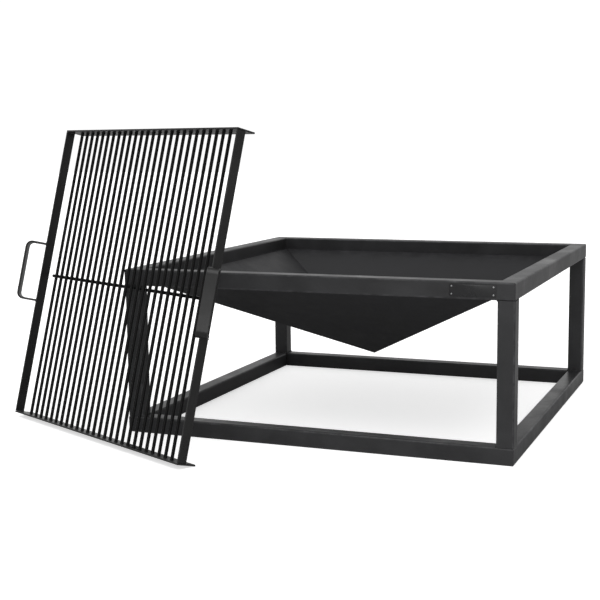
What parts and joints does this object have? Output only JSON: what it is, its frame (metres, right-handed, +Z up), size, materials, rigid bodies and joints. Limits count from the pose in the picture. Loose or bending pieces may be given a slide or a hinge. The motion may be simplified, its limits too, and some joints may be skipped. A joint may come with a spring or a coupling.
{
  "type": "fire pit with grate",
  "caption": "Low square fire pit: tube frame, inverted pyramid bowl hung in the top frame, and a flat rod cooking grate with side handles leaning on one corner.",
  "frame": {"origin": "on the ground, under the middle of the whole object, the leaning grate included", "axes": "+Z up, +X to the right along the pit's front, +Y away from the front"},
  "size_m": [1.0112, 0.9274, 0.5577],
  "materials": {
    "frame_paint": "satin heat-resistant black paint on square steel tube",
    "bowl_paint": "satin heat-resistant black paint on steel sheet",
    "plate_metal": "blank dark plate with a slight sheen",
    "rivet_metal": "small plain rivet heads",
    "grate_paint": "satin black coated steel strip",
    "rod_paint": "satin black coated round rod"
  },
  "bodies": {
    "pit": {"back_bottom_rail": "frame_paint", "back_bowl_panel": "bowl_paint", "back_left_leg": "frame_paint", "back_right_leg": "frame_paint", "back_top_rail": "frame_paint", "front_bottom_rail": "frame_paint", "front_bowl_panel": "bowl_paint", "front_left_leg": "frame_paint", "front_right_leg": "frame_paint", "front_top_rail": "frame_paint", "left_bottom_rail": "frame_paint", "left_bowl_panel": "bowl_paint", "left_top_rail": "frame_paint", "nameplate": "plate_metal", "nameplate_rivet_lower_left": "rivet_metal", "nameplate_rivet_lower_right": "rivet_metal", "nameplate_rivet_upper_left": "rivet_metal", "nameplate_rivet_upper_right": "rivet_metal", "right_bottom_rail": "frame_paint", "right_bowl_panel": "bowl_paint", "right_top_rail": "frame_paint"},
    "grate": {"grate_bottom_strip": "grate_paint", "grate_cross_rod": "rod_paint", "grate_left_handle": "grate_paint", "grate_left_strip": "grate_paint", "grate_right_handle": "grate_paint", "grate_right_strip": "grate_paint", "grate_rod_01": "rod_paint", "grate_rod_02": "rod_paint", "grate_rod_03": "rod_paint", "grate_rod_04": "rod_paint", "grate_rod_05": "rod_paint", "grate_rod_06": "rod_paint", "grate_rod_07": "rod_paint", "grate_rod_08": "rod_paint", "grate_rod_09": "rod_paint", "grate_rod_10": "rod_paint", "grate_rod_11": "rod_paint", "grate_rod_12": "rod_paint", "grate_rod_13": "rod_paint", "grate_rod_14": "rod_paint", "grate_rod_15": "rod_paint", "grate_rod_16": "rod_paint", "grate_rod_17": "rod_paint", "grate_rod_18": "rod_paint", "grate_rod_19": "rod_paint", "grate_rod_20": "rod_paint", "grate_rod_21": "rod_paint", "grate_rod_22": "rod_paint", "grate_rod_23": "rod_paint", "grate_rod_24": "rod_paint", "grate_rod_25": "rod_paint", "grate_rod_26": "rod_paint", "grate_top_strip": "grate_paint"}
  },
  "joints": [
    {"name": "grate_lift", "type": "slide", "parent": "pit", "child": "grate", "axis": [0, 0, 1], "range_m": [0, 0.35]}
  ]
}
